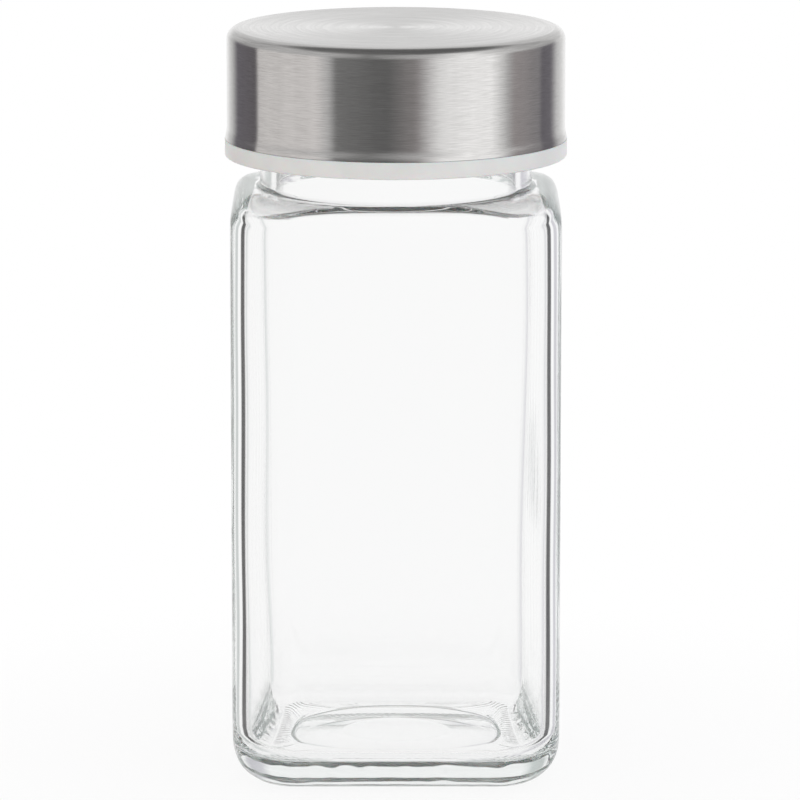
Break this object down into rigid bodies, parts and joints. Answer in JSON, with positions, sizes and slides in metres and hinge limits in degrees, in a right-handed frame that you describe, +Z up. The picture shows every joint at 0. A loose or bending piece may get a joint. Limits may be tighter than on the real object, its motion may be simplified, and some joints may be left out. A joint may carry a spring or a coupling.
{
  "type": "spice jar",
  "caption": "Square clear glass jar with rounded corners, a low sloping shoulder and a round screw-on lid of brushed steel over a moulded cap.",
  "frame": {"origin": "centre of the base, on the surface that the jar stands on", "axes": "+Z up along the jar and lid axis, X and Y square to the flat sides"},
  "size_m": [0.05, 0.05, 0.1096],
  "materials": {
    "jar_glass": "clear moulded glass, polished by the flame, slightly wavy",
    "cap_plastic": "natural translucent white polypropylene",
    "lid_steel": "brushed round the side and in circles on the top",
    "seal": "soft white sealing ring"
  },
  "bodies": {
    "jar": {"glass_jar": "jar_glass"},
    "seal": {"seal_ring": "seal"},
    "lid": {"inner_cap": "cap_plastic", "lid_shell": "lid_steel"}
  },
  "joints": [
    {"name": "lid_rise", "type": "slide", "parent": "jar", "child": "seal", "axis": [0, 0, 1], "range_m": [0, 0.01891]},
    {"name": "lid_turn", "type": "hinge", "parent": "seal", "child": "lid", "pos_m": [0, 0, 0], "axis": [0, 0, 1], "range_deg": [0, 1620]}
  ],
  "couplings": [
    {"joint": "lid_rise", "follows": "lid_turn", "m_per_rad": 0.00066845}
  ]
}
